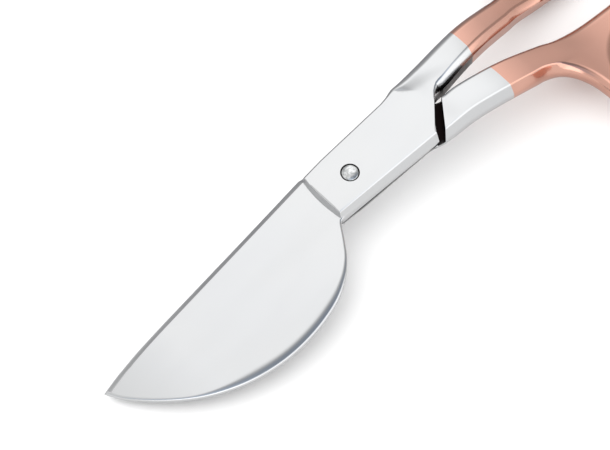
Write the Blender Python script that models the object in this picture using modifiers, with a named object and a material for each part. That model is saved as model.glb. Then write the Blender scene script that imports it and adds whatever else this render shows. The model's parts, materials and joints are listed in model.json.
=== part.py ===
"""Duckbill applique scissors: a wide paddle blade over a narrow knife blade, joined by one pivot screw.

Each half is drawn in the scissors' own frame, whose origin is on the pivot axis between the blades:
+X runs back to the handles, +Z is the side the paddle's outer face looks to. The whole is then tilted to
lie at rest on its tip and its bows, with the origin at the bottom centre of its bounding box.
"""

import math

import bmesh
import bpy
from mathutils import Vector

MM = 0.001

# Driving dimensions, in millimetres.
TIP_X = -61.0               # pivot to tip
REAR_X = 91.0               # pivot to the rear of the bows
PLATING_X = 34.5            # where the plating starts on the shanks
MATING_GAP = 0.2            # between the two halves' flat faces

BLOCK_Z = 2.7               # outer faces of the joint block, either side of the mating plane
BLOCK_FRONT_X = -6.85
BLOCK_REAR_X = 16.9         # rear corner of a block, on its own outer side
CROTCH_X = 21.5             # where a block's slanted rear end meets its shank
BLOCK_DRAFT = 1.0           # how far the block's free side leans out at the mating plane
SHOULDER_GAP = 1.0          # between a block's rear end and the other half's shank
BLADE_THICKNESS = 1.3

SHANK_WIDTH = 6.9
SHANK_THICKNESS = 5.2
SHANK_START = (20.0, 3.35)  # centreline of a shank where it leaves the block
SHANK_SPLAY = 0.126         # sideways per unit length
SHANK_TAPER = (35.0, 52.0)  # stretch along X over which a shank narrows towards its bow
TAPERED_SHARE = 0.88        # its width at the end of that stretch, besides the thinning of its whole section
HANDLE_SLOPE = 0.456        # how steeply the handles bend away from the paddle's outer face
REAR_SLOPE = 0.12
FIRST_BEND = (22.0, 41.0)
SECOND_BEND = (52.0, 80.0)

THUMB_BOW = {"length": 36.0, "width": 29.0, "inner_y": 4.0}
FINGER_BOW = {"length": 41.0, "width": 33.0, "inner_y": 4.0}
BOW_WIDTH = 4.7             # across a bow's bar
BOW_THINNING = 0.86         # a bow's depth, as a share of the shank's
BURIED_END = 0.5            # a shank's end narrows inside its bow

PLATING_THICKNESS = 0.25
PLATING_GAP = 0.1
SCREW_HEAD_RADIUS = 3.2
SCREW_HEAD_DEPTH = 1.3
SCREW_SHANK_RADIUS = 2.15
SCREW_THREAD_RADIUS = 1.85
SCREW_DOME = 0.5
SCREW_CLEARANCE = 0.1

COLOURS = {
    "polished_steel": ((0.80, 0.81, 0.82), 0.12),
    "screw_steel": ((0.62, 0.64, 0.66), 0.22),
    "rose_gold_plating": ((0.86, 0.56, 0.46), 0.16),
}


def material(name):
    """A metal with the given colour and roughness."""
    colour, roughness = COLOURS[name]
    made = bpy.data.materials.new(name)
    made.use_nodes = True
    shader = made.node_tree.nodes["Principled BSDF"]
    shader.inputs["Base Color"].default_value = (*colour, 1.0)
    shader.inputs["Metallic"].default_value = 1.0
    shader.inputs["Roughness"].default_value = roughness
    return made


def clear_scene():
    for old in list(bpy.data.objects):
        bpy.data.objects.remove(old, do_unlink=True)


def linked(name, data, collection):
    made = bpy.data.objects.new(name, data)
    collection.objects.link(made)
    return made


def realised(source, name):
    """Replaces a curve, or an object with modifiers, by a plain welded mesh object."""
    depsgraph = bpy.context.evaluated_depsgraph_get()
    mesh = bpy.data.meshes.new_from_object(source.evaluated_get(depsgraph))
    mesh.transform(source.matrix_world)
    work = bmesh.new()
    work.from_mesh(mesh)
    bmesh.ops.remove_doubles(work, verts=work.verts, dist=0.001 * MM)
    bmesh.ops.recalc_face_normals(work, faces=work.faces)
    work.to_mesh(mesh)
    work.free()
    made = linked(name, mesh, source.users_collection[0])
    bpy.data.objects.remove(source, do_unlink=True)
    return made


def boolean(target, cutter, operation):
    """Applies one Boolean and removes its second object."""
    step = target.modifiers.new(operation.lower(), "BOOLEAN")
    step.operation = operation
    step.solver = "EXACT"
    step.object = cutter
    name = target.name
    made = realised(target, name + "_made")
    bpy.data.objects.remove(cutter, do_unlink=True)
    made.name = name
    return made


def bevelled(target, width, segments=2, angle=35.0):
    edge = target.modifiers.new("edges", "BEVEL")
    edge.width = width * MM
    edge.segments = segments
    edge.limit_method = "ANGLE"
    edge.angle_limit = math.radians(angle)
    name = target.name
    made = realised(target, name + "_made")
    made.name = name
    return made


def plate(name, outline, bottom, top, collection):
    """A flat plate from an outline of (x, y, smooth) points, between two heights."""
    curve = bpy.data.curves.new(name, "CURVE")
    curve.dimensions = "2D"
    curve.fill_mode = "BOTH"
    curve.extrude = (top - bottom) / 2 * MM
    curve.resolution_u = 5
    spline = curve.splines.new("BEZIER")
    spline.use_cyclic_u = True
    spline.bezier_points.add(len(outline) - 1)
    for point, (x, y, smooth) in zip(spline.bezier_points, outline):
        point.co = (x * MM, y * MM, 0.0)
        kind = "AUTO" if smooth else "VECTOR"
        point.handle_left_type = kind
        point.handle_right_type = kind
    made = linked(name, curve, collection)
    made.location.z = (top + bottom) / 2 * MM
    bpy.context.view_layer.update()
    return realised(made, name + "_plate")


def lean_out(target, side, amount, bottom_z):
    """Leans the sides on one side of the X axis outwards, towards a height."""
    for vertex in target.data.vertices:
        if vertex.co.y * side > 0 and abs(vertex.co.z - bottom_z * MM) < 0.05 * MM:
            vertex.co.y += side * amount * MM


def eased(x, start, end):
    """Travel along X weighted by a slope that grows evenly from 0 at start to 1 at end."""
    if x < start:
        return 0.0
    if x < end:
        return (x - start) ** 2 / (2 * (end - start))
    return x - (start + end) / 2


def handle_z(x):
    """Height of the handles' centreline."""
    flattening = HANDLE_SLOPE - REAR_SLOPE
    return -HANDLE_SLOPE * eased(x, *FIRST_BEND) + flattening * eased(x, *SECOND_BEND)


def shank_path(side, start_x, end_x, steps):
    points = []
    for i in range(steps + 1):
        x = start_x + (end_x - start_x) * i / steps
        y = SHANK_START[1] + SHANK_SPLAY * (x - SHANK_START[0])
        points.append(Vector((x, side * y, handle_z(x))) * MM)
    return points


def bow_centre(bow):
    half_length = (bow["length"] - BOW_WIDTH) / 2
    half_width = (bow["width"] - BOW_WIDTH) / 2
    return REAR_X - bow["length"] / 2, bow["inner_y"] + bow["width"] / 2, half_length, half_width


def bow_path(side, bow, steps=32):
    x0, y0, half_length, half_width = bow_centre(bow)
    points = []
    for i in range(steps):
        angle = 2 * math.pi * i / steps
        x = x0 + half_length * math.cos(angle)
        y = y0 + half_width * math.sin(angle)
        points.append(Vector((x, side * y, handle_z(x))) * MM)
    return points


def section_curve(width, thickness, inset, collection):
    """The rounded rectangle that is swept along a handle, less an inset all round."""
    half_width = width / 2 - inset
    half_height = thickness / 2 - inset
    corner = 1.3 - inset
    curve = bpy.data.curves.new("section", "CURVE")
    curve.dimensions = "2D"
    spline = curve.splines.new("POLY")
    spline.use_cyclic_u = True
    points = []
    for quarter in range(4):
        across = half_width - corner if quarter in (0, 3) else corner - half_width
        upward = half_height - corner if quarter in (0, 1) else corner - half_height
        for step in range(3):
            angle = math.pi / 2 * (quarter + step / 2)
            points.append((across + corner * math.cos(angle), upward + corner * math.sin(angle)))
    spline.points.add(len(points) - 1)
    for point, (across, upward) in zip(spline.points, points):
        point.co = (across * MM, upward * MM, 0.0, 1.0)
    return linked("section", curve, collection)


def sweep(name, path, section, end_scale, collection):
    """A solid bar along a path: a closed ring, or with an end scale, an open bar that shrinks towards it."""
    cyclic = end_scale is None
    curve = bpy.data.curves.new(name, "CURVE")
    curve.dimensions = "3D"
    curve.twist_mode = "Z_UP"
    curve.bevel_mode = "OBJECT"
    curve.bevel_object = section
    curve.use_fill_caps = True
    spline = curve.splines.new("POLY")
    spline.use_cyclic_u = cyclic
    spline.points.add(len(path) - 1)
    for i, (point, place) in enumerate(zip(spline.points, path)):
        point.co = (*place, 1.0)
        if not cyclic:
            point.radius = 1.0 + (end_scale - 1.0) * i / (len(path) - 1)
    if not cyclic:
        spline.points[-1].radius *= BURIED_END
    made = realised(linked(name, curve, collection), name + "_bar")
    bpy.data.objects.remove(section, do_unlink=True)
    return made


def narrow_shank(shank, side):
    """Narrows a shank about its centreline, evenly along its taper."""
    start, end = SHANK_TAPER
    for vertex in shank.data.vertices:
        x = vertex.co.x / MM
        centre = side * (SHANK_START[1] + SHANK_SPLAY * (x - SHANK_START[0])) * MM
        share = min(max((x - start) / (end - start), 0.0), 1.0)
        vertex.co.y = centre + (vertex.co.y - centre) * (1 - (1 - TAPERED_SHARE) * share)


def handle(name, side, bow, inset, start_x, collection):
    """Shank and bow as one solid, from start_x back."""
    x0, y0, half_length, half_width = bow_centre(bow)
    rise = (SHANK_START[1] + SHANK_SPLAY * (x0 - half_length - SHANK_START[0]) - y0) / half_width
    end_x = x0 - half_length * math.sqrt(1 - rise ** 2)
    shank_section = section_curve(SHANK_WIDTH, SHANK_THICKNESS, inset, collection)
    shank = sweep(name, shank_path(side, start_x, end_x, 12), shank_section, BOW_THINNING, collection)
    narrow_shank(shank, side)
    bow_section = section_curve(BOW_WIDTH, SHANK_THICKNESS * BOW_THINNING, inset, collection)
    ring = sweep(name + "_ring", bow_path(side, bow), bow_section, None, collection)
    return boolean(shank, ring, "UNION")


def slab(name, low_x, high_x, collection):
    """A large box between two planes across the X axis."""
    work = bmesh.new()
    bmesh.ops.create_cube(work, size=1.0)
    mesh = bpy.data.meshes.new(name)
    work.to_mesh(mesh)
    work.free()
    made = linked(name, mesh, collection)
    made.scale = ((high_x - low_x) * MM, 120 * MM, 120 * MM)
    made.location = ((high_x + low_x) / 2 * MM, 0.0, 0.0)
    bpy.context.view_layer.update()
    return realised(made, name + "_box")


def rod(name, radius, bottom, top, collection):
    """A cylinder on the pivot axis."""
    work = bmesh.new()
    bmesh.ops.create_cone(work, cap_ends=True, segments=32, radius1=radius * MM, radius2=radius * MM,
                          depth=(top - bottom) * MM)
    bmesh.ops.translate(work, verts=work.verts, vec=(0.0, 0.0, (top + bottom) / 2 * MM))
    mesh = bpy.data.meshes.new(name)
    work.to_mesh(mesh)
    work.free()
    return linked(name, mesh, collection)


def paddle_outline():
    """The straight cutting edge, the tip, and the round belly of the paddle."""
    return [
        (-1.0, 5.2, False), (-7.0, 6.1, False), (-9.5, 5.9, False), (-34.6, 3.8, True), (-50.0, 2.5, True),
        (TIP_X, 0.6, False), (-55.1, -7.3, True), (-46.0, -14.1, True), (-32.0, -17.8, True),
        (-19.7, -16.3, True), (-12.1, -11.7, True), (-8.4, -6.4, True), (-6.7, -3.9, False), (-1.0, -3.5, False),
    ]


def knife_outline():
    """The narrow blade under the paddle, its back just inside the paddle's straight edge."""
    return [
        (-1.0, 4.2, False), (-6.7, 5.2, False), (-34.6, 3.2, True), (-50.0, 1.8, True), (TIP_X + 1.2, 0.2, False),
        (-52.0, -2.2, True), (-38.0, -4.3, True), (-20.0, -4.6, True), (-6.7, -4.4, False), (-1.0, -3.5, False),
    ]


def joint_block(name, side, collection):
    """The half-thickness block around the pivot, with its slanted rear end and its leaning free side."""
    outline = [
        (BLOCK_FRONT_X, side * 5.35, False), (BLOCK_FRONT_X, side * -4.4, False),
        (BLOCK_REAR_X, side * -5.2, False), (CROTCH_X, side * -0.4, False),
        (CROTCH_X + 4.0, side * 0.9, False), (CROTCH_X + 4.0, side * 7.2, False), (BLOCK_REAR_X, side * 6.5, False),
    ]
    low, high = sorted((side * MATING_GAP / 2, side * BLOCK_Z))
    block = plate(name, outline, low, high, collection)
    lean_out(block, -side, BLOCK_DRAFT, side * MATING_GAP / 2)
    return bevelled(block, 0.3)


def shank_root(name, side, collection):
    """The full-thickness start of the shank, behind the other half's slanted rear end."""
    rear = CROTCH_X + 5.0
    outline = [
        (BLOCK_REAR_X + SHOULDER_GAP, side * 6.9, False), (CROTCH_X + SHOULDER_GAP + 0.4, side * 0.8, False),
        (rear, side * 1.1, False), (rear, side * 7.3, False),
    ]
    half = SHANK_THICKNESS / 2
    return bevelled(plate(name, outline, -half, half, collection), 0.5)


def forging(name, side, blade, bow, collection):
    """Blade, block, shank and bow of one half as one solid, slimmed under the plating."""
    body = boolean(blade, joint_block(name + "_block", side, collection), "UNION")
    body = boolean(body, shank_root(name + "_root", side, collection), "UNION")
    front = handle(name + "_front", side, bow, 0.0, CROTCH_X + 2.0, collection)
    front = boolean(front, slab(name + "_behind", PLATING_X, REAR_X + 20, collection), "DIFFERENCE")
    core_inset = PLATING_THICKNESS + PLATING_GAP
    core = handle(name + "_core", side, bow, core_inset, CROTCH_X + 2.0, collection)
    body = boolean(body, front, "UNION")
    body = boolean(body, core, "UNION")
    return body


def plating(name, side, bow, collection):
    """The thin coat over a handle, open at its front end."""
    coat = handle(name, side, bow, 0.0, CROTCH_X + 2.0, collection)
    hollow = handle(name + "_hollow", side, bow, PLATING_THICKNESS, CROTCH_X + 2.0, collection)
    coat = boolean(coat, hollow, "DIFFERENCE")
    return boolean(coat, slab(name + "_ahead", 0.0, PLATING_X + PLATING_GAP, collection), "DIFFERENCE")


def pivot_screw(name, collection):
    """A turned screw: slotted head below, smooth neck through the knife half, threaded end above, domed."""
    head_bottom = -BLOCK_Z + 0.1
    head_top = head_bottom + SCREW_HEAD_DEPTH
    dome_base = BLOCK_Z - 0.1
    profile = [(0.0, dome_base + SCREW_DOME)]
    for step in range(1, 6):
        angle = math.pi / 2 * step / 5
        profile.append((SCREW_THREAD_RADIUS * math.sin(angle), dome_base + SCREW_DOME * math.cos(angle)))
    profile += [
        (SCREW_THREAD_RADIUS, 0.0), (SCREW_SHANK_RADIUS, 0.0), (SCREW_SHANK_RADIUS, head_top),
        (SCREW_HEAD_RADIUS, head_top), (SCREW_HEAD_RADIUS, head_bottom + 0.2),
        (SCREW_HEAD_RADIUS - 0.2, head_bottom), (0.0, head_bottom),
    ]
    mesh = bpy.data.meshes.new(name)
    mesh.from_pydata([(r * MM, 0.0, z * MM) for r, z in profile], [(i, i + 1) for i in range(len(profile) - 1)], [])
    turned = linked(name, mesh, collection)
    spin = turned.modifiers.new("turn", "SCREW")
    spin.steps = 32
    spin.render_steps = 32
    spin.use_merge_vertices = True
    spin.merge_threshold = 0.00001
    screw = realised(turned, name + "_turned")
    slot = slab(name + "_slot", -0.4, 0.4, collection)
    slot.location.z = (head_bottom - 60 + 0.7) * MM
    bpy.context.view_layer.update()
    return boolean(screw, slot, "DIFFERENCE")


def finished(made, name, material_name, parent):
    """Names a solid, gives it its material and smooth shading, and hangs it on its empty."""
    made.name = name
    made.data.name = name
    made.data.materials.clear()
    made.data.materials.append(material(material_name))
    made.data.shade_smooth()
    made.data.set_sharp_from_angle(angle=math.radians(30))
    made.parent = parent
    return made


def resting_tilt(points):
    """The angle at which the tip and the bows both touch a flat table."""
    low, high = 0.0, math.radians(20)
    for _ in range(40):
        tilt = (low + high) / 2
        heights = [(p.x, p.z * math.cos(tilt) + p.x * math.sin(tilt)) for p in points]
        tip = min(z for x, z in heights if x < 0)
        bows = min(z for x, z in heights if x > 0)
        if bows < tip:
            low = tilt
        else:
            high = tilt
    return tilt


def rest_on_table(frame, pieces):
    """Tilts the scissors on to the tip and bows, with the bounding box's bottom centre at the origin."""
    points = [vertex.co for piece in pieces for vertex in piece.data.vertices]
    frame.rotation_euler.y = -resting_tilt(points)
    bpy.context.view_layer.update()
    corners = [piece.matrix_world @ vertex.co for piece in pieces for vertex in piece.data.vertices]
    low = Vector([min(c[k] for c in corners) for k in range(3)])
    high = Vector([max(c[k] for c in corners) for k in range(3)])
    frame.location = (-(low.x + high.x) / 2, -(low.y + high.y) / 2, -low.z)
    bpy.context.view_layer.update()


def main():
    clear_scene()
    parts = bpy.data.collections.new("duckbill_scissors")
    bpy.context.scene.collection.children.link(parts)

    frame = linked("scissors_frame", None, parts)
    knife_pivot = linked("knife_pivot", None, parts)
    knife_pivot.parent = frame

    gap = MATING_GAP / 2
    paddle = bevelled(plate("paddle", paddle_outline(), gap, gap + BLADE_THICKNESS, parts), 0.35)
    paddle_half = forging("paddle_half", 1, paddle, THUMB_BOW, parts)
    knife = bevelled(plate("knife", knife_outline(), -gap - BLADE_THICKNESS, -gap, parts), 0.35)
    knife_half = forging("knife_half", -1, knife, FINGER_BOW, parts)

    thread_hole = rod("thread_hole", SCREW_THREAD_RADIUS + SCREW_CLEARANCE, -1.0, BLOCK_Z + 1.0, parts)
    paddle_half = boolean(paddle_half, thread_hole, "DIFFERENCE")
    neck_hole = rod("neck_hole", SCREW_SHANK_RADIUS + SCREW_CLEARANCE, -BLOCK_Z - 1.0, 1.0, parts)
    knife_half = boolean(knife_half, neck_hole, "DIFFERENCE")
    head_seat = rod("head_seat", SCREW_HEAD_RADIUS + SCREW_CLEARANCE, -BLOCK_Z - 1.0,
                    -BLOCK_Z + 0.1 + SCREW_HEAD_DEPTH + SCREW_CLEARANCE, parts)
    knife_half = boolean(knife_half, head_seat, "DIFFERENCE")

    pieces = [
        finished(paddle_half, "paddle_half", "polished_steel", frame),
        finished(plating("thumb_coat", 1, THUMB_BOW, parts), "thumb_handle_plating", "rose_gold_plating", frame),
        finished(pivot_screw("screw", parts), "pivot_screw", "screw_steel", frame),
        finished(knife_half, "knife_half", "polished_steel", knife_pivot),
        finished(plating("finger_coat", -1, FINGER_BOW, parts), "finger_handle_plating", "rose_gold_plating",
                 knife_pivot),
    ]
    rest_on_table(frame, pieces)


main()
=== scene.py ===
"""The look of the duckbill scissors: smooth, fine halves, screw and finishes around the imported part.

Each half is drawn flat in the scissors' own frame (millimetres, origin on the pivot axis between the
blades, +X back to the handles, +Z out of the paddle's outer face), bent at the handles, parted at the
plating line and then laid at rest by the pivot joint's own position and axis.
"""

import json
import math

import bmesh
import bpy
from mathutils import Matrix, Vector


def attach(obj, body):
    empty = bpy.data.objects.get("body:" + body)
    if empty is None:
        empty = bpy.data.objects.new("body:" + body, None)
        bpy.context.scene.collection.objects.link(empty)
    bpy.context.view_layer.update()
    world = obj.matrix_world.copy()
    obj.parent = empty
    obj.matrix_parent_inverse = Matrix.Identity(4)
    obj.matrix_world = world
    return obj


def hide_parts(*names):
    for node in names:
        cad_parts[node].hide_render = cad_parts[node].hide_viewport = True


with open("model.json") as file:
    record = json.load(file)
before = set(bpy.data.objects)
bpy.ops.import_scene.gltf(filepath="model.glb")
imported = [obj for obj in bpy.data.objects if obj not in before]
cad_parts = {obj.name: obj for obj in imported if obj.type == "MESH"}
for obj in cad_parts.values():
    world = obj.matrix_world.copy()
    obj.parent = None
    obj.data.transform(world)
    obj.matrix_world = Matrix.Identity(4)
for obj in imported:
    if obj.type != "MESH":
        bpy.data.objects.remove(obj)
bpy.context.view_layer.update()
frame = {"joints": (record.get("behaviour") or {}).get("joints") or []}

MM = 0.001
GRAIN_HEIGHT = 0.05 * MM
PIVOT = next(joint for joint in frame["joints"] if joint["name"] == "blade_pivot")

# Layers, as heights from the plane between the blades.
GAP = 0.1
BLOCK_TOP = 2.7
SHANK_BOTTOM = -2.6
PADDLE_TOP = 1.4
KNIFE_BOTTOM = -1.35

# The joint block, in plan. The knife half uses the same plan turned over about the X axis.
BLOCK_FRONT = -6.75             # the top edge of the block's front face, whose foot bulges forward
FRONT_FOOT = [(-7.45, -3.6), (-7.66, -1.2), (-7.6, 1.5), (-7.35, 3.6)]
FRONT_CORNERS = ((-7.1, -5.4), (-6.95, 5.35))
FRONT_DEPTH = 1.3
BLOCK_RIGHT = -6.35             # the block's side away from the shank, at its rear
BLOCK_REAR = 16.9
CROTCH = (21.5, -0.5)
CROTCH_END = CROTCH[0] + 0.5    # the last of the small curl where the block's rear meets the shank
SHOULDER = ((17.9, 7.0), (22.9, 0.95))  # the wall behind the other half's block, from outside to crotch
SHADED_FLOOR_WIDTH = 2.0              # how far the painted shade on the mating floor reaches ahead of the shoulder, along X
KNIFE_BLOCK_DRAFT = 1.3         # how far the knife block's side draws in where the paddle block's leans too

# The shanks, in plan, and how the handles bend down behind the joint.
PLATING_X = 34.5
SHANK_START = (20.0, 3.35)
SHANK_SPLAY = 0.126
SHANK_WIDTH = 6.9
SHANK_TAPER = (35.0, 52.0, 0.85)  # where a shank narrows to the bow, and by how much on each side
SHANK_CROWN = 0.28
HANDLE_SLOPE = 0.456
REAR_SLOPE = 0.12
FIRST_BEND = (22.0, 41.0)
SECOND_BEND = (52.0, 80.0)

# The bows.
REAR_X = 91.0
THUMB_BOW = {"length": 36.0, "width": 29.0, "inner_y": 4.0,
             "inner_edge": [(52.0, 4.25), (46.0, 3.66), (40.0, 2.94), (35.0, 2.2), (30.0, 1.36),
                            (26.0, 0.66)]}
FINGER_BOW = {"length": 41.0, "width": 33.0, "inner_y": 4.0,
              "inner_edge": [(52.0, 4.4), (46.0, 3.5), (40.0, 2.52), (35.0, 1.8), (30.0, 1.16),
                             (26.0, 0.66)]}
BOW_WIDTH = 4.7
BOW_DEPTH = 0.86                # a bow's depth as a share of the shank's
FILLET_REACH = 7.0              # how far ahead of a bow its outer fillet leaves the shank

# The diagonal crease where the ground block ends and the shank rises: a point on it, and the rise past it.
SHOULDER_CREASE = (17.2, 6.5)
SHOULDER_RISE = 0.4
SHOULDER_REACH = 0.8            # the distance over which most of the rise comes
CREASE_CUTS = (0.0, 0.12, 0.28, 0.5, 0.8, 1.2, 1.8)  # distances past the crease where faces are cut

# The blades.
TIP_X = -61.0
BLADE_TAPER = (-45.0, 0.4)      # where the blades start to thin, and the share of thickness lost at the tip
KNIFE_TIP = (-59.8, 0.2)

# The faces curve between these places along X, and only outside a flat layer at the mating plane.
CURVED_FROM = 15.0
CURVED_TO = 56.0
FLAT_LAYER = 0.3
GRID = 0.6                      # spacing of the cuts that let the faces curve

# The pivot screw, and the number of sides of what is round.
ROUND_STEPS = 96
SCREW_DOME_RADIUS = 1.62
THREAD_HOLE_RADIUS = 1.8
SCREW_NECK_RADIUS = 2.15
SCREW_HEAD_RADIUS = 3.2
SCREW_HEAD_DEPTH = 1.3
SCREW_CLEARANCE = 0.1
SCREW_DOME_BASE = 2.55
SCREW_DOME_RISE = 0.55
SCREW_HEAD_SUNK = 0.1           # how far the head stands back from the knife block's face
SLOT_WIDTH = 0.8
SLOT_DEPTH = 0.7

# Edge shapes are (inset, height, power, roundness): power 1 is a straight chamfer, 2 leaves a crease only
# at the flat, and roundness 1 is an elliptical round.
CRISP = (0.15, 0.2, 1.0, 1.0)
SHANK_ROUND = (1.8, 1.9, 1.0, 1.0)
INNER_CHAMFER = (1.45, 1.6, 1.2, 0.0)
SOFT_CORNER = (0.4, 0.6, 1.0, 0.6)
UNDER_CHAMFER = (1.2, 2.4, 1.1, 0.0)
UNDER_ROUND = (0.9, 1.0, 1.0, 1.0)
BOW_ROUND = (2.0, 2.1, 1.0, 1.0)
CUTTING_BEVEL = (1.0, 1.1, 1.0, 0.0)

# Depths below a flat face at which an edge's shape is sampled.
EDGE_DEPTHS = (0.0, 0.02, 0.06, 0.12, 0.2, 0.32, 0.48, 0.7, 0.95, 1.25, 1.6, 2.0, 2.4)

# The fine bevel that is polished on a creased edge: its inset and its depth.
CREASE_BEVEL = (0.13, 0.2)

# Material slots of a half's steel after the polished one: the ground finish, and steel with painted shade in
# the joint.
GROUND, PAINTED_SHADE_SLOT = 1, 2


# ---------------------------------------------------------------- outlines

def catmull_rom(p, q, r, s, t):
    """The curve between q and r, with p before them and s after, in one coordinate."""
    linear = (r - p) * t
    square = (2 * p - 5 * q + 4 * r - s) * t ** 2
    cubic = (3 * q - p - 3 * r + s) * t ** 3
    return 0.5 * (2 * q + linear + square + cubic)


def smooth_path(points, spacing=0.7):
    """Points along a Catmull-Rom curve through the given ones, about a spacing apart."""
    made = []
    for i in range(len(points) - 1):
        before = points[max(i - 1, 0)]
        a, b = points[i], points[i + 1]
        after = points[min(i + 2, len(points) - 1)]
        steps = max(1, round(math.dist(a, b) / spacing))
        for step in range(steps):
            made.append(tuple(catmull_rom(*values, step / steps) for values in zip(before, a, b, after)))
    made.append(tuple(points[-1]))
    return made


def eased(x, start, end):
    """0 before start, then a slope that grows to 1 at end and stays: the run of a bend."""
    if x < start:
        return 0.0
    if x < end:
        return (x - start) ** 2 / (2 * (end - start))
    return x - (start + end) / 2


def handle_z(x):
    """How far the bent handles sit below the plane of the blades, at x."""
    return -HANDLE_SLOPE * eased(x, *FIRST_BEND) + (HANDLE_SLOPE - REAR_SLOPE) * eased(x, *SECOND_BEND)


def blend_between(x, start, end):
    """0 before start, 1 after end, smooth in between."""
    t = min(max((x - start) / (end - start), 0.0), 1.0)
    return t * t * (3 - 2 * t)


def bow_ellipse(bow, offset):
    """Centre and half-axes of a bow's outline, offset outwards from the middle of its ring."""
    half_length = (bow["length"] - BOW_WIDTH) / 2 + offset
    half_width = (bow["width"] - BOW_WIDTH) / 2 + offset
    return REAR_X - bow["length"] / 2, bow["inner_y"] + bow["width"] / 2, half_length, half_width


def on_ellipse(ellipse, degrees):
    """The point of an ellipse at an angle from +X."""
    x0, y0, a, b = ellipse
    return (x0 + a * math.cos(math.radians(degrees)), y0 + b * math.sin(math.radians(degrees)))


def shank_centre(x):
    return SHANK_START[1] + SHANK_SPLAY * (x - SHANK_START[0])


def shank_half_width(x):
    start, end, narrowing = SHANK_TAPER
    return SHANK_WIDTH / 2 - narrowing * blend_between(x, start, end)


def outer_edge(x):
    return (x, shank_centre(x) + shank_half_width(x))


def bow_front(bow):
    return REAR_X - bow["length"]


def handle_outline(bow, start_outer, start_inner):
    """The edge of shank and bow: the shank's outer side, a fillet, round the bow, and its inner side."""
    front = bow_front(bow)
    shank = [outer_edge(x) for x in (25.0, 30.0, 35.0, 40.0, 45.0) if x < front - FILLET_REACH - 1.0]
    start, end = outer_edge(front - FILLET_REACH), (front, bow["inner_y"] + bow["width"] / 2)
    corner = (front, start[1] + 0.8)
    fillet = [start]
    for t in (0.25, 0.5, 0.75):
        fillet.append(tuple(p * (1 - t) ** 2 + 2 * q * t * (1 - t) + r * t ** 2
                            for p, q, r in zip(start, corner, end)))
    ring = [on_ellipse(bow_ellipse(bow, BOW_WIDTH / 2), d) for d in range(180, -100, -12)]
    return smooth_path(start_outer + shank + fillet + ring + bow["inner_edge"] + start_inner)


def hole_outline(bow):
    ring = bow_ellipse(bow, -BOW_WIDTH / 2)
    return [on_ellipse(ring, d) for d in range(0, 360, 4)]


# ---------------------------------------------------------------- solids

def linked_object(name, work):
    """Turns a finished bmesh into an object in the scene."""
    mesh = bpy.data.meshes.new(name)
    work.to_mesh(mesh)
    work.free()
    made = bpy.data.objects.new(name, mesh)
    bpy.context.scene.collection.objects.link(made)
    return made


def signed_area(loop):
    return sum(a[0] * b[1] - b[0] * a[1] for a, b in zip(loop, loop[1:] + loop[:1])) / 2


def inset_loop(loop, insets, inward):
    """Moves each side of a closed loop inwards by its own inset, and meets them at the corners."""
    count = len(loop)
    normals = []
    for i in range(count):
        (ax, ay), (bx, by) = loop[i], loop[(i + 1) % count]
        length = math.dist(loop[i], loop[(i + 1) % count])
        normals.append((-(by - ay) / length * inward, (bx - ax) / length * inward))
    made = []
    for i, (x, y) in enumerate(loop):
        (ax, ay), (bx, by) = normals[i - 1], normals[i]
        before, after = insets[i - 1], insets[i]
        turn = ax * by - ay * bx
        if abs(turn) > 0.3:
            dx = (before * by - after * ay) / turn
            dy = (after * ax - before * bx) / turn
        else:
            mean = (before + after) / 2 / max(1 + ax * bx + ay * by, 0.5)
            dx, dy = (ax + bx) * mean, (ay + by) * mean
        made.append((x + dx, y + dy))
    return made


def edge_inset(shape, depth):
    """How far an edge of the given shape stands in from its side, at a depth below the flat face."""
    inset, height, power, roundness = shape
    if depth >= height:
        return 0.0
    left = 1 - depth / height
    bevel = CREASE_BEVEL[0] * max(1 - depth / CREASE_BEVEL[1], 0.0)
    creased = inset * left ** power + bevel
    rounded = inset * (1 - math.sqrt(1 - left ** 2))
    return (1 - roundness) * creased + roundness * rounded


def shaped_plate(name, loops, bottom, top, low_shape=None, high_shape=None):
    """A plate from an outline and its holes. A shape function gives the edge's shape at a place on it."""
    work = bmesh.new()
    caps = ([], [])
    for number, loop in enumerate(loops):
        if signed_area(loop) < 0:
            loop = loop[::-1]
        count = len(loop)
        middles = [((ax + bx) / 2, (ay + by) / 2) for (ax, ay), (bx, by) in zip(loop, loop[1:] + loop[:1])]
        layers = []
        for shape_at, flat, sign in ((low_shape, bottom, 1), (high_shape, top, -1)):
            depths = EDGE_DEPTHS if shape_at else (0.0,)
            room = (top - bottom) / (2 if low_shape and high_shape else 1)
            stack = [(flat + sign * depth,
                      [edge_inset(shape_at(*middle), depth) if shape_at else 0.0 for middle in middles])
                     for depth in depths if depth < room]
            layers.append(stack if sign == 1 else stack[::-1])
        rings = []
        for z, insets in layers[0] + layers[1]:
            path = inset_loop(loop, insets, 1 if number == 0 else -1)
            rings.append([work.verts.new((x, y, z)) for x, y in path])
        for lower, upper in zip(rings, rings[1:]):
            for i in range(count):
                work.faces.new((lower[i], lower[(i + 1) % count], upper[(i + 1) % count], upper[i]))
        for cap, ring in zip(caps, (rings[0], rings[-1])):
            cap += [work.edges.get((ring[i], ring[(i + 1) % count])) for i in range(count)]
    for cap in caps:
        bmesh.ops.triangle_fill(work, edges=cap, use_beauty=True, use_dissolve=False)
    bmesh.ops.recalc_face_normals(work, faces=work.faces)
    return linked_object(name, work)


def joined(target, other, operation="UNION"):
    """Applies a Boolean of the target with the other object, which is used up."""
    step = target.modifiers.new(operation, "BOOLEAN")
    step.operation = operation
    step.solver = "EXACT"
    step.object = other
    depsgraph = bpy.context.evaluated_depsgraph_get()
    mesh = bpy.data.meshes.new_from_object(target.evaluated_get(depsgraph))
    target.modifiers.clear()
    target.data = mesh
    bpy.data.objects.remove(other, do_unlink=True)
    return target


def turned_over(made):
    """Turns a piece over about the X axis, as the knife half is to the paddle half."""
    made.data.transform(Matrix.Rotation(math.pi, 4, "X"))
    return made


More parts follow.
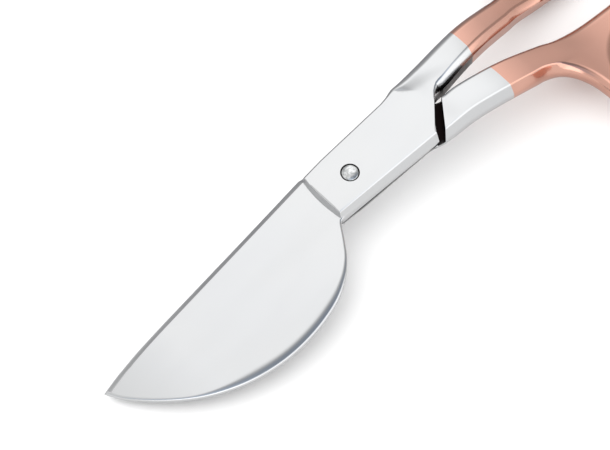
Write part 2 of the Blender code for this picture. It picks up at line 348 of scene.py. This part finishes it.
def face_rise(x, y, block_side):
    """Height added to a half's faces, drawn as the paddle half lies: both faces of a shank are crowned,
    and the block's face steps up to the shank over a crease that fades towards the crotch."""
    across = (y - shank_centre(x)) / shank_half_width(x)
    along = blend_between(x, 20.0, 27.0) * (1 - blend_between(x, 48.0, 58.0))
    rise = SHANK_CROWN * max(1 - across ** 2, 0.0) * along
    past_crease = (x - SHOULDER_CREASE[0] + y - SHOULDER_CREASE[1]) / math.sqrt(2)
    if block_side and past_crease > 0:
        step = SHOULDER_RISE * (1 - math.exp(-past_crease / SHOULDER_REACH)) * blend_between(y, 2.3, 6.3)
        rise += step * (1 - blend_between(x, 22.0, 32.0))
    return rise


def cut_grid(work, side):
    """Cuts the mesh into strips, finely enough for the faces to be curved."""
    def cut(geometry, point, direction):
        bmesh.ops.bisect_plane(work, geom=geometry, dist=0.0001, plane_co=point, plane_no=direction)

    def around(faces):
        corners = {vertex for face in faces for vertex in face.verts}
        sides = {edge for face in faces for edge in face.edges}
        return list(corners) + list(sides) + list(faces)

    blade_end = round(BLADE_TAPER[0] - TIP_X)
    places = [TIP_X + step for step in range(1, blade_end + 1)]
    x = CURVED_FROM + 0.2
    while x < REAR_X:
        places.append(x)
        x += GRID if x < CURVED_TO else 2 * GRID
    for x in places:
        cut(work.verts[:] + work.edges[:] + work.faces[:], (x, 0, 0), (1, 0, 0))
    for step in range(20):
        for sign in (1, -1):
            flats = [face for face in work.faces if abs(face.normal.z) > 0.999
                     and CURVED_FROM < face.calc_center_median().x < CURVED_TO + 0.5]
            cut(around(flats), (0, sign * step / 2, 0), (0, 1, 0))
    # Cuts the mating face where the painted shade ahead of the shoulder ends.
    (x0, y0), (x1, y1) = SHOULDER
    mating = [f for f in work.faces if abs(f.calc_center_median().z - side * GAP) < 0.01]
    cut(around(mating), (x0 - SHADED_FLOOR_WIDTH, side * y0, 0), (y0 - y1, side * (x1 - x0), 0))
    for past in CREASE_CUTS:
        near = []
        for face in work.faces:
            centre = face.calc_center_median()
            if CURVED_FROM < centre.x < 26.0 and centre.y * side > 1.5 and centre.z * side > FLAT_LAYER:
                near.append(face)
        on_line = (SHOULDER_CREASE[0] + past * math.sqrt(2), side * SHOULDER_CREASE[1], 0)
        cut(around(near), on_line, (1, side, 0))


def shaped_z(x, y, z, side):
    """Where a point of the flat drawing ends up: faces risen, blade tip and bow thinned, handle bent."""
    y *= side
    z *= side
    if x > CURVED_FROM and abs(z) > FLAT_LAYER:
        face_z = BLOCK_TOP if z > 0 else -SHANK_BOTTOM
        z += math.copysign(face_rise(x, y, z > 0) * (abs(z) - FLAT_LAYER) / (face_z - FLAT_LAYER), z)
    if x < BLADE_TAPER[0]:
        along = (x - BLADE_TAPER[0]) / (TIP_X - BLADE_TAPER[0])
        z = GAP + (z - GAP) * (1 - BLADE_TAPER[1] * along ** 2)
    return side * z * (1 - (1 - BOW_DEPTH) * blend_between(x, 40.0, 60.0)) + handle_z(x)


def flat_normal(x, y, z, side):
    """The finished face's normal where the drawing has a flat face at height z."""
    reach = 0.05
    along = shaped_z(x + reach, y, z, side) - shaped_z(x - reach, y, z, side)
    across = shaped_z(x, y + reach, z, side) - shaped_z(x, y - reach, z, side)
    return Vector((-along, -across, 2 * reach)).normalized() * math.copysign(1.0, z)


def shape_mesh(made, side):
    """Cleans up a half, cuts it finely and shapes it, and keeps the flat faces' true normals with it."""
    work = bmesh.new()
    work.from_mesh(made.data)
    bmesh.ops.remove_doubles(work, verts=work.verts, dist=0.0008)
    bmesh.ops.dissolve_degenerate(work, edges=work.edges, dist=0.0008)
    bmesh.ops.dissolve_limit(work, angle_limit=math.radians(0.2), verts=work.verts, edges=work.edges)
    cut_grid(work, side)
    bmesh.ops.triangulate(work, faces=[f for f in work.faces if len(f.verts) > 4])
    bmesh.ops.recalc_face_normals(work, faces=work.faces)
    known = work.verts.layers.float_vector.new("face_normal")
    for vertex in work.verts:
        if any(abs(f.normal.z) > 0.9999 for f in vertex.link_faces):
            vertex[known] = flat_normal(*vertex.co, side)
    for vertex in work.verts:
        vertex.co.z = shaped_z(*vertex.co, side)
    bmesh.ops.recalc_face_normals(work, faces=work.faces)
    work.to_mesh(made.data)
    work.free()


def parted(made, name, rear):
    """A copy of a half's handle behind the plating line, or of the rest before it, closed at the line."""
    work = bmesh.new()
    work.from_mesh(made.data)
    cut = bmesh.ops.bisect_plane(
        work, geom=work.verts[:] + work.edges[:] + work.faces[:], dist=0.0001, plane_co=(PLATING_X, 0, 0),
        plane_no=(1, 0, 0), clear_outer=not rear, clear_inner=rear)
    rim = [piece for piece in cut["geom_cut"] if isinstance(piece, bmesh.types.BMEdge)]
    bmesh.ops.triangle_fill(work, edges=rim, use_beauty=True, use_dissolve=False)
    bmesh.ops.recalc_face_normals(work, faces=work.faces)
    return linked_object(name, work)


# ---------------------------------------------------------------- the two halves

def between(first, second, share):
    """An edge shape part of the way from the first to the second."""
    return tuple(a + (b - a) * share for a, b in zip(first, second))


def bow_share(x, y, bow):
    """How far an edge has turned from a shank's into the bow's: sooner on the outer side, by the fillet."""
    start, end = (-8.0, 3.0) if y > shank_centre(x) else (-3.0, 9.0)
    return blend_between(x, bow_front(bow) + start, bow_front(bow) + end)


def upper_edges(x, y, bow, left_draft):
    """Edges of a half's face on the block's side. The draft is how far the block's left side leans in."""
    if x < BLOCK_FRONT:
        return (max(BLOCK_FRONT - x - CREASE_BEVEL[0], 0.0), FRONT_DEPTH, 1.0, 0.0)
    if y < 0.3 and x < CROTCH_END:
        if x > BLOCK_REAR - 0.1:
            return CRISP
        return (1.0 + 0.25 * blend_between(x, BLOCK_FRONT, BLOCK_REAR), 2.4, 1.1, 0.0)
    if y > shank_centre(x):
        block = (left_draft, 1.8, 1.0, 0.0) if left_draft else SOFT_CORNER
        shape = between(block, SHANK_ROUND, blend_between(x, 15.0, 21.0))
    else:
        shape = between(CRISP, INNER_CHAMFER, blend_between(x, CROTCH[0], 25.0))
    return between(shape, BOW_ROUND, bow_share(x, y, bow))


def lower_edges(x, y, bow):
    """Edges of a half's face on the side where the other half has its block."""
    shape = UNDER_CHAMFER if y > shank_centre(x) else UNDER_ROUND
    return between(shape, BOW_ROUND, bow_share(x, y, bow))


def knife_edges(x, y):
    """A small round, smaller still at the sharp tip, where a wide one would cross itself."""
    return (0.08 + 0.17 * blend_between(x, KNIFE_TIP[0] + 0.3, KNIFE_TIP[0] + 3.8), 0.3, 1.0, 1.0)


def paddle_edges(x, y):
    """Ground flat along the straight cutting edge, rolled over round the belly."""
    if y > 0.62 + 0.05 * (x - TIP_X):
        return CUTTING_BEVEL
    belly = blend_between(x, -52.0, -38.0) * (1 - blend_between(x, -22.0, -8.0))
    return (0.5 + 1.4 * belly, 0.5 + 0.45 * belly, 1.0, 1.0)


def half_outline(bow):
    """The block's outline run on into the shank and bow."""
    rear_left = [(14.0, 6.15), (15.6, 6.4), (17.4, 6.95), (20.0, 7.12)]
    crotch = [(23.6, 0.6), (22.4, 0.3), (21.8, -0.1), CROTCH]
    path = handle_outline(bow, rear_left, crotch)
    front = [FRONT_CORNERS[0]] + smooth_path(FRONT_FOOT) + [FRONT_CORNERS[1]]
    return front + [(-2.0, 5.72), (6.0, 5.93)] + path + [
        (BLOCK_REAR + 0.25, BLOCK_RIGHT + 1.4), (BLOCK_REAR, BLOCK_RIGHT)]


def on_shoulder_line(y):
    """The point at y on the line of the wall behind the other half's block."""
    (x0, y0), (x1, y1) = SHOULDER
    return (x0 + (y - y0) * (x1 - x0) / (y1 - y0), y)


def paddle_outline():
    """The half-moon paddle: its straight cutting edge, and its belly from the tip back to the block."""
    tip = (TIP_X, 0.6)
    belly = [tip, (-59.1, -2.9), (-55.0, -7.6), (-50.2, -11.7), (-45.3, -14.5), (-39.5, -16.6),
             (-32.8, -17.7), (-26.0, -17.5), (-19.7, -16.2), (-15.3, -14.1), (-12.1, -11.5), (-9.7, -8.4),
             (-8.2, -6.2), (-7.4, -5.35), (-6.4, -5.15)]
    edge = [(-7.2, 6.15), (-20.7, 4.95), (-34.6, 3.8), (-48.5, 2.6), (-56.0, 1.6), tip]
    return [(-1.0, 5.0)] + smooth_path(edge)[:-1] + smooth_path(belly) + [(-1.0, -4.0)]


def knife_outline():
    """The narrow knife blade, seen as the paddle half is drawn."""
    back = [(-6.8, 5.1), (-20.7, 4.2), (-34.6, 3.2), (-50.0, 1.8), KNIFE_TIP]
    cutting = [KNIFE_TIP, (-52.0, -2.2), (-38.0, -4.3), (-20.0, -4.6), (-6.8, -4.3)]
    return [(-1.0, 4.2)] + smooth_path(back)[:-1] + smooth_path(cutting) + [(-1.0, -3.5)]


def half(name, bow, blade_piece, left_draft):
    """One half, drawn as the paddle half lies: full depth behind the shoulder, above the gap ahead of it."""
    made = shaped_plate(name, [half_outline(bow), hole_outline(bow)], SHANK_BOTTOM, BLOCK_TOP,
                        lambda x, y: lower_edges(x, y, bow),
                        lambda x, y: upper_edges(x, y, bow, left_draft))
    joined(made, blade_piece)
    room = [on_shoulder_line(30.0), on_shoulder_line(-30.0), (-80.0, -30.0), (-80.0, 30.0)]
    return joined(made, shaped_plate(name + "_room", [room], SHANK_BOTTOM - 5.0, GAP), "DIFFERENCE")


def scissors_axes():
    """The scissors' X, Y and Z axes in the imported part's frame."""
    normal = -Vector(PIVOT["axis"])
    along = Vector((normal.z, 0.0, -normal.x))
    return along, normal.cross(along), normal


def place(made, body, *nodes):
    """Takes a piece from the scissors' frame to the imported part's, and hangs it on its body."""
    turn = Matrix(scissors_axes()).transposed().to_4x4()
    made.data.transform(Matrix.Translation(Vector(PIVOT["pos_m"])) @ turn @ Matrix.Scale(MM, 4))
    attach(made, body)
    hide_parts(*nodes)
    return made


def cylinder(name, radius, bottom, top):
    work = bmesh.new()
    bmesh.ops.create_cone(work, cap_ends=True, segments=ROUND_STEPS, radius1=radius, radius2=radius,
                          depth=top - bottom)
    bmesh.ops.translate(work, verts=work.verts, vec=(0.0, 0.0, (top + bottom) / 2))
    return linked_object(name, work)


def turned_screw(name):
    """The pivot screw: domed burnished end above, plain neck, and a chamfered slotted head below."""
    head_bottom = -BLOCK_TOP + SCREW_HEAD_SUNK
    head_top = head_bottom + SCREW_HEAD_DEPTH
    profile = []
    for step in range(13):
        angle = math.pi / 2 * step / 12
        height = SCREW_DOME_BASE + SCREW_DOME_RISE * math.cos(angle)
        profile.append((SCREW_DOME_RADIUS * math.sin(angle), height))
    profile += [(SCREW_DOME_RADIUS, 0.0), (SCREW_NECK_RADIUS, 0.0), (SCREW_NECK_RADIUS, head_top)]
    profile += [(SCREW_HEAD_RADIUS, head_top), (SCREW_HEAD_RADIUS, head_bottom + 0.25)]
    profile += [(SCREW_HEAD_RADIUS - 0.08, head_bottom + 0.08), (SCREW_HEAD_RADIUS - 0.25, head_bottom)]
    profile.append((0.0, head_bottom))
    work = bmesh.new()
    verts = [work.verts.new((radius, 0.0, z)) for radius, z in profile]
    edges = [work.edges.new(pair) for pair in zip(verts, verts[1:])]
    bmesh.ops.spin(work, geom=verts + edges, axis=(0, 0, 1), cent=(0, 0, 0), angle=2 * math.pi,
                   steps=ROUND_STEPS, use_merge=True)
    bmesh.ops.remove_doubles(work, verts=work.verts, dist=0.0005)
    bmesh.ops.recalc_face_normals(work, faces=work.faces)
    made = linked_object(name, work)
    x, y = SLOT_WIDTH / 2, SCREW_HEAD_RADIUS + 1.8
    slot = shaped_plate("slot", [[(-x, -y), (x, -y), (x, y), (-x, y)]], head_bottom - 1.0,
                        head_bottom + SLOT_DEPTH)
    return joined(made, slot, "DIFFERENCE")


def shade(made, *materials):
    """Smooth shading with creases over 28 degrees; the flat faces' own normals hold up to their edges."""
    mesh = made.data
    mesh.materials.clear()
    for material in materials:
        mesh.materials.append(material)
    mesh.shade_smooth()
    mesh.set_sharp_from_angle(angle=math.radians(28.0))
    known = mesh.attributes.get("face_normal")
    if known:
        normals = [corner.vector.copy() for corner in mesh.corner_normals]
        for face in mesh.polygons:
            for loop in face.loop_indices:
                flat = Vector(known.data[mesh.loops[loop].vertex_index].vector)
                if flat.length > 0.5 and flat.dot(face.normal) > math.cos(math.radians(20.0)):
                    normals[loop] = flat
        mesh.normals_split_custom_set(normals)
        mesh.attributes.remove(mesh.attributes["face_normal"])
    return made


def mark_finishes_and_shade(made, side):
    """Picks out the ground bevel and block front, and the faces that get painted shade: the walls and floor
    facing the other half's shank, the crotch, the inner wall's band and a strip of the knife block's side.
    """
    foot_rim = FRONT_FOOT[1][0] + 0.06  # nothing ahead of this is ground
    for face in made.data.polygons:
        centre, normal = face.center.copy(), face.normal.copy()
        for vector in (centre, normal):
            vector.y *= side
        centre.z = (centre.z - handle_z(centre.x)) * side
        normal.z *= side
        from_line = on_shoulder_line(centre.y)[0] - centre.x
        if centre.x < BLOCK_FRONT - 0.3 and normal.y > 0.3 and 0.2 < abs(normal.z) < 0.95:
            face.material_index = GROUND
        elif foot_rim < centre.x < BLOCK_FRONT and normal.x < -0.7:
            face.material_index = GROUND
        # From here on the faces get painted shade, darkened where shadow falls in the joint's gaps and
        # beside them.
        elif centre.x > CURVED_FROM and normal.x < -0.5 and abs(from_line) < 0.5:
            face.material_index = PAINTED_SHADE_SLOT
        elif BLOCK_REAR - 0.1 < centre.x < CROTCH_END and normal.x > 0.5 and centre.y < 0.3:
            face.material_index = PAINTED_SHADE_SLOT
        elif centre.x > 12.0 and abs(centre.z - GAP) < 0.05 and 0 < from_line < SHADED_FLOOR_WIDTH:
            face.material_index = PAINTED_SHADE_SLOT
        elif CROTCH[0] < centre.x < PLATING_X and normal.y < -0.8 and -2.2 < centre.z < 1.0:
            face.material_index = PAINTED_SHADE_SLOT
        elif side < 0 and BLOCK_FRONT < centre.x < 16.0 and normal.y > 0.95 and 0 < centre.z < 1.0:
            face.material_index = PAINTED_SHADE_SLOT


# ---------------------------------------------------------------- finishes and painted shade

class Nodes:
    """Short calls for building a node tree."""

    def __init__(self, tree):
        self.tree = tree

    def add(self, kind, **settings):
        node = self.tree.nodes.new(kind)
        for key, value in settings.items():
            setattr(node, key, value)
        return node

    def feed(self, target, value):
        if isinstance(value, bpy.types.NodeSocket):
            self.tree.links.new(value, target)
        else:
            target.default_value = value

    def math(self, operation, a, b):
        node = self.add("ShaderNodeMath", operation=operation)
        self.feed(node.inputs[0], a)
        self.feed(node.inputs[1], b)
        return node.outputs[0]

    def product(self, first, *others):
        for other in others:
            first = self.math("MULTIPLY", first, other)
        return first

    def position(self, output="Object"):
        return self.add("ShaderNodeTexCoord").outputs[output]

    def dot(self, vector, direction):
        node = self.add("ShaderNodeVectorMath", operation="DOT_PRODUCT")
        self.feed(node.inputs[0], vector)
        node.inputs[1].default_value = direction
        return node.outputs["Value"]

    def noise(self, vector, scale, detail=2.0, stretch=(1.0, 1.0, 1.0)):
        mapping = self.add("ShaderNodeMapping")
        mapping.inputs["Scale"].default_value = stretch
        self.feed(mapping.inputs["Vector"], vector)
        node = self.add("ShaderNodeTexNoise")
        node.inputs["Scale"].default_value = scale
        node.inputs["Detail"].default_value = detail
        self.feed(node.inputs["Vector"], mapping.outputs[0])
        return node.outputs["Fac"]

    def mix(self, share, a, b):
        node = self.add("ShaderNodeMix", data_type="RGBA")
        self.feed(node.inputs["Factor"], share)
        self.feed([i for i in node.inputs if i.name == "A" and i.type == "RGBA"][0], a)
        self.feed([i for i in node.inputs if i.name == "B" and i.type == "RGBA"][0], b)
        return [o for o in node.outputs if o.type == "RGBA"][0]

    def ramp(self, value, low, high, to_low=0.0, to_high=1.0):
        node = self.add("ShaderNodeMapRange", interpolation_type="SMOOTHSTEP")
        self.feed(node.inputs["Value"], value)
        limits = {"From Min": low, "From Max": high, "To Min": to_low, "To Max": to_high}
        for name, number in limits.items():
            node.inputs[name].default_value = number
        return node.outputs["Result"]

    def openness(self, reach_mm, closed, opened):
        """0 where so much of the view is blocked within reach, 1 on open faces."""
        node = self.add("ShaderNodeAmbientOcclusion", samples=8)
        node.inputs["Distance"].default_value = reach_mm * MM
        return self.ramp(node.outputs["AO"], closed, opened)


def metal(name, colour, worn_colour, painted_shade_colour, painted_shade, roughness, grain, grain_stretch,
          cloud_scale=55.0):
    """A polished metal: cloudy colour and gloss, fine polishing grain, and painted shade where it is hemmed
    in.
    The shade setting is the reach in millimetres of what hems it in, and the openness at which the painted
    shade is full, and at which it is clear."""
    made = bpy.data.materials.new(name)
    made.use_nodes = True
    nodes = Nodes(made.node_tree)
    shader = made.node_tree.nodes["Principled BSDF"]
    point = nodes.position()
    cloud = nodes.ramp(nodes.noise(point, cloud_scale, 3.0), 0.35, 0.65)
    open_colour = nodes.mix(cloud, (*colour, 1.0), (*worn_colour, 1.0))
    # Painted shade: the dark colour takes over where ambient occlusion finds the surface hemmed in.
    shown = nodes.mix(nodes.openness(*painted_shade), (*painted_shade_colour, 1.0), open_colour)
    nodes.feed(shader.inputs["Base Color"], shown)
    shader.inputs["Metallic"].default_value = 1.0
    smears = nodes.noise(point, 130.0, 4.0, grain_stretch)
    nodes.feed(shader.inputs["Roughness"], nodes.ramp(smears, 0.3, 0.7, *roughness))
    bump = nodes.add("ShaderNodeBump")
    bump.inputs["Strength"].default_value = grain
    bump.inputs["Distance"].default_value = GRAIN_HEIGHT
    nodes.feed(bump.inputs["Height"], nodes.noise(point, 1500.0, 2.0, grain_stretch))
    nodes.feed(shader.inputs["Normal"], bump.outputs[0])
    return made


def polished_steel():
    # The third colour is painted shade, near black where the steel is hemmed in.
    return metal("polished_steel", (0.60, 0.605, 0.61), (0.59, 0.597, 0.607), (0.02, 0.017, 0.015),
                 (2.0, 0.1, 0.45), (0.14, 0.22), 0.03, (0.2, 1.0, 1.0))


def ground_steel():
    # The third colour is painted shade, a mid grey where the ground steel is hemmed in.
    return metal("ground_steel", (0.66, 0.665, 0.67), (0.62, 0.625, 0.63), (0.45, 0.45, 0.45),
                 (1.0, 0.1, 0.5), (0.28, 0.36), 0.12, (1.0, 0.15, 1.0))


def steel_with_painted_shade():
    """Steel with painted shade in the joint: black where it is hemmed in, standing in for the shadow in the
    gaps.
    """
    return metal("painted_shade_steel", (0.50, 0.50, 0.50), (0.42, 0.42, 0.42), (0.006, 0.004, 0.004),
                 (4.0, 0.7, 1.25), (0.25, 0.4), 0.15, (1.0, 1.0, 1.0))


def rose_gold():
    # The third colour is painted shade, a dark red-brown where the plating is hemmed in, such as along the
    # handles' inner walls.
    return metal("rose_gold_plating", (0.68, 0.385, 0.305), (0.66, 0.365, 0.285), (0.20, 0.03, 0.015),
                 (2.5, 0.2, 0.6), (0.10, 0.17), 0.03, (0.2, 1.0, 1.0))


def burnished_steel():
    # The third colour is painted shade, a dark ring where the dome meets the edge of its hole.
    return metal("burnished_screw_steel", (0.74, 0.75, 0.755), (0.46, 0.47, 0.47), (0.01, 0.01, 0.01),
                 (0.8, 0.5, 0.95), (0.16, 0.38), 0.5, (1.0, 0.5, 1.0), 1700.0)


# ---------------------------------------------------------------- assembly

def finished_half(made, side, body, steel_name, steel_node, rose_name, rose_node, finishes_and_shade):
    """Shapes a drawn half, parts it at the plating line and hangs both pieces on their body."""
    steel, ground, painted_shade, rose = finishes_and_shade
    shape_mesh(made, side)
    front = shade(parted(made, steel_name, False), steel, ground, painted_shade)
    mark_finishes_and_shade(front, side)
    rear = shade(parted(made, rose_name, True), rose)
    bpy.data.objects.remove(made, do_unlink=True)
    place(front, body, steel_node)
    place(rear, body, rose_node)


# The third of these is the steel with painted shade.
finishes_and_shade = (polished_steel(), ground_steel(), steel_with_painted_shade(), rose_gold())

paddle = shaped_plate("paddle", [paddle_outline()], 0.0, PADDLE_TOP, None, paddle_edges)
paddle_half = half("paddle_side_drawn", THUMB_BOW, paddle, 0.0)
thread_hole = cylinder("thread_hole", THREAD_HOLE_RADIUS, -1.0, BLOCK_TOP + 1.0)
joined(paddle_half, thread_hole, "DIFFERENCE")
finished_half(paddle_half, 1, "paddle_side", "paddle_half_polished", "paddle_half",
              "thumb_handle_rose_gold", "thumb_handle_plating", finishes_and_shade)

knife_turned = [(x, -y) for x, y in knife_outline()]
knife = shaped_plate("knife", [knife_turned], 0.0, -KNIFE_BOTTOM, None, knife_edges)
knife_half = half("knife_side_drawn", FINGER_BOW, knife, KNIFE_BLOCK_DRAFT)
neck_hole = cylinder("neck_hole", SCREW_NECK_RADIUS + SCREW_CLEARANCE, -1.0, BLOCK_TOP + 1.0)
joined(knife_half, neck_hole, "DIFFERENCE")
seat_floor = BLOCK_TOP - SCREW_HEAD_SUNK - SCREW_HEAD_DEPTH - SCREW_CLEARANCE
head_seat = cylinder("head_seat", SCREW_HEAD_RADIUS + SCREW_CLEARANCE, seat_floor, BLOCK_TOP + 1.0)
joined(knife_half, head_seat, "DIFFERENCE")
finished_half(turned_over(knife_half), -1, "knife_side", "knife_half_polished", "knife_half",
              "finger_handle_rose_gold", "finger_handle_plating", finishes_and_shade)

screw = shade(turned_screw("pivot_screw_turned"), burnished_steel())
place(screw, "paddle_side", "pivot_screw")

# ---------------------------------------------------------------- stage, light and camera

OPEN_LIGHT = 1.08               # what falls on the table from all round
CAMERA_LENS = 200.0
CAMERA_SENSOR = 36.0
CAMERA_TILT = 25.0              # degrees off square to the joint block's face
PICTURE_WIDTH = 110.9           # of the view at the joint block, in millimetres
AIM = (8.18, 9.55)              # how far the picture's middle lies left of and below the pivot, in mm


def floor():
    """A white table. In reflections it darkens behind the scissors (+Y), as if a grey card stood there."""
    bpy.ops.mesh.primitive_plane_add(size=3.0, location=(0.0, 0.0, -0.0002))
    made = bpy.context.object
    made.name = "floor"
    white = bpy.data.materials.new("white_table")
    white.use_nodes = True
    nodes = Nodes(white.node_tree)
    shader = white.node_tree.nodes["Principled BSDF"]
    mirrored = nodes.add("ShaderNodeLightPath").outputs["Is Glossy Ray"]
    behind = nodes.ramp(nodes.dot(nodes.position(), (0, 1, 0)), 0.0, 0.02)
    card = nodes.mix(behind, (0.75, 0.75, 0.75, 1.0), (0.26, 0.26, 0.27, 1.0))
    nodes.feed(shader.inputs["Base Color"], nodes.mix(mirrored, (0.95, 0.95, 0.95, 1.0), card))
    shader.inputs["Roughness"].default_value = 0.9
    shader.inputs["Specular IOR Level"].default_value = 0.0
    made.data.materials.append(white)


def area_light(name, location, size, power, target=(0.0, 0.0, 0.0)):
    data = bpy.data.lights.new(name, "AREA")
    data.shape = "RECTANGLE"
    data.size, data.size_y = size
    data.energy = power
    made = bpy.data.objects.new(name, data)
    bpy.context.scene.collection.objects.link(made)
    made.location = location
    made.rotation_euler = (Vector(target) - Vector(location)).to_track_quat("-Z", "Y").to_euler()
    return made


def studio_world():
    """A large softbox overhead, a bright low strip in front (-Y), and dim surroundings that edges can
    reflect. The table is lit evenly instead."""
    world = bpy.data.worlds.new("studio")
    world.use_nodes = True
    bpy.context.scene.world = world
    nodes = Nodes(world.node_tree)
    direction = nodes.position("Generated")
    x, y, z = (nodes.dot(direction, axis) for axis in ((1, 0, 0), (0, 1, 0), (0, 0, 1)))
    softbox = nodes.product(nodes.ramp(x, -0.35, 0.25), nodes.ramp(x, 0.55, 1.08, 1.0, 0.0),
                            nodes.ramp(y, -0.25, 0.22), nodes.ramp(y, 0.55, 0.95, 1.0, 0.0),
                            nodes.ramp(z, 0.0, 0.4))
    strip = nodes.product(nodes.ramp(y, -0.48, -0.68), nodes.ramp(z, 0.42, 0.6, 1.0, 0.0))
    left_card = nodes.ramp(x, -0.3, 0.0, 1.0, 0.0)
    light = nodes.math("ADD", 0.5, softbox)
    light = nodes.math("ADD", light, nodes.product(strip, 1.2))
    light = nodes.math("ADD", light, nodes.product(left_card, 0.45))
    cool = nodes.product(nodes.ramp(y, 0.0, -0.5), nodes.ramp(z, 0.3, 0.6))
    background = world.node_tree.nodes["Background"]
    mirrored = nodes.add("ShaderNodeLightPath").outputs["Is Glossy Ray"]
    cool = nodes.product(cool, mirrored)
    nodes.feed(background.inputs["Color"], nodes.mix(cool, (1.0, 1.0, 1.0, 1.0), (0.62, 0.70, 0.82, 1.0)))
    level = nodes.add("ShaderNodeMix")
    nodes.feed(level.inputs["Factor"], mirrored)
    nodes.feed(level.inputs["A"], OPEN_LIGHT)
    nodes.feed(level.inputs["B"], light)
    nodes.feed(background.inputs["Strength"], level.outputs["Result"])


def camera():
    """Looks at the face of the joint block from the tip's side, leaning back from square to it."""
    along, across, normal = scissors_axes()
    right = (along * 0.711 - across * 0.703).normalized()
    image_up = along * 0.703 + across * 0.711
    tilt = math.radians(CAMERA_TILT)
    towards = (normal * math.cos(tilt) - image_up * math.sin(tilt)).normalized()
    up = towards.cross(right)
    data = bpy.data.cameras.new("camera")
    data.lens = CAMERA_LENS
    data.sensor_width = CAMERA_SENSOR
    distance = PICTURE_WIDTH * MM * CAMERA_LENS / CAMERA_SENSOR
    target = Vector(PIVOT["pos_m"]) + (normal * BLOCK_TOP - right * AIM[0] - up * AIM[1]) * MM
    made = bpy.data.objects.new("camera", data)
    bpy.context.scene.collection.objects.link(made)
    turn = Matrix((right, up, towards)).transposed().to_4x4()
    made.matrix_world = Matrix.Translation(target + towards * distance) @ turn
    bpy.context.scene.camera = made


floor()
key = area_light("key", (-0.53, 0.36, 0.9), (1.5, 1.5), 9.0)
key.visible_glossy = False
studio_world()
bpy.context.scene.view_settings.view_transform = "Standard"
camera()
